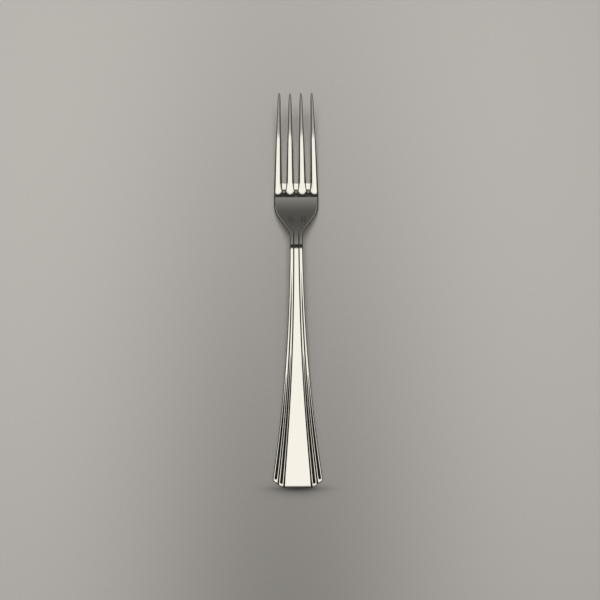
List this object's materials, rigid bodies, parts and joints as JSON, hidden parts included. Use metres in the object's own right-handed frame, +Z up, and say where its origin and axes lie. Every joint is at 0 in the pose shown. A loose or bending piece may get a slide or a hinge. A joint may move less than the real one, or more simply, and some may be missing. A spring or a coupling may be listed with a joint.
{
  "type": "dinner fork",
  "caption": "Four-tined dinner fork with an arched neck, a shallow bowl and a handle that flares to cut corners, with fanned fingers beside a plain panel.",
  "frame": {"origin": "on the surface that the fork rests on, at the middle of its length and width as it lies with the tines up", "axes": "+X across the fork to the right, +Y along it from the handle end to the tips of the tines, +Z up from the surface that it rests on"},
  "size_m": [0.026, 0.2022, 0.017],
  "materials": {
    "polished_steel": "mirror-polished stainless steel"
  },
  "bodies": {
    "root": {"handle_end": "polished_steel", "stem": "polished_steel", "neck": "polished_steel", "bowl": "polished_steel", "left_outer_tine": "polished_steel", "left_inner_tine": "polished_steel", "right_inner_tine": "polished_steel", "right_outer_tine": "polished_steel"}
  },
  "joints": []
}
